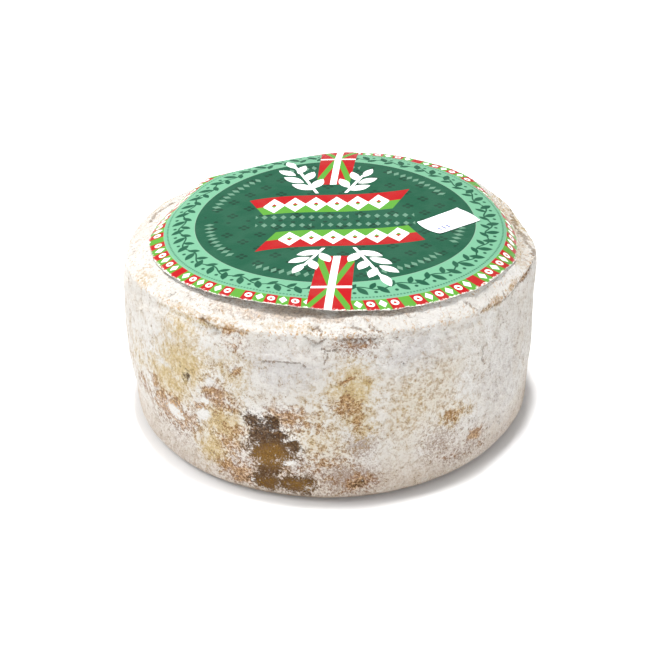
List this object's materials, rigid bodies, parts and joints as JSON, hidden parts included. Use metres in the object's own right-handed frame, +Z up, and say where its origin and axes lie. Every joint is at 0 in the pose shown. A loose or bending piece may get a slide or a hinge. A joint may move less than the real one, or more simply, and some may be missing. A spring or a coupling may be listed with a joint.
{
  "type": "cheese wheel",
  "caption": "Low drum-shaped whole cheese in a mould-ripened rind, with a round printed paper label on its top face and a small blank price sticker.",
  "frame": {"origin": "middle of the wheel's outline, on the flat foot that it rests on", "axes": "+Z up out of the labelled face; -Y towards the viewer of the stained side; +X to that viewer's right"},
  "size_m": [0.2002, 0.2006, 0.0971],
  "materials": {
    "rind": "matte",
    "label_paper": "satin",
    "sticker_paper": "satin"
  },
  "bodies": {
    "root": {"cheese_wheel": "rind", "paper_label": "label_paper", "price_sticker": "sticker_paper"}
  },
  "joints": []
}
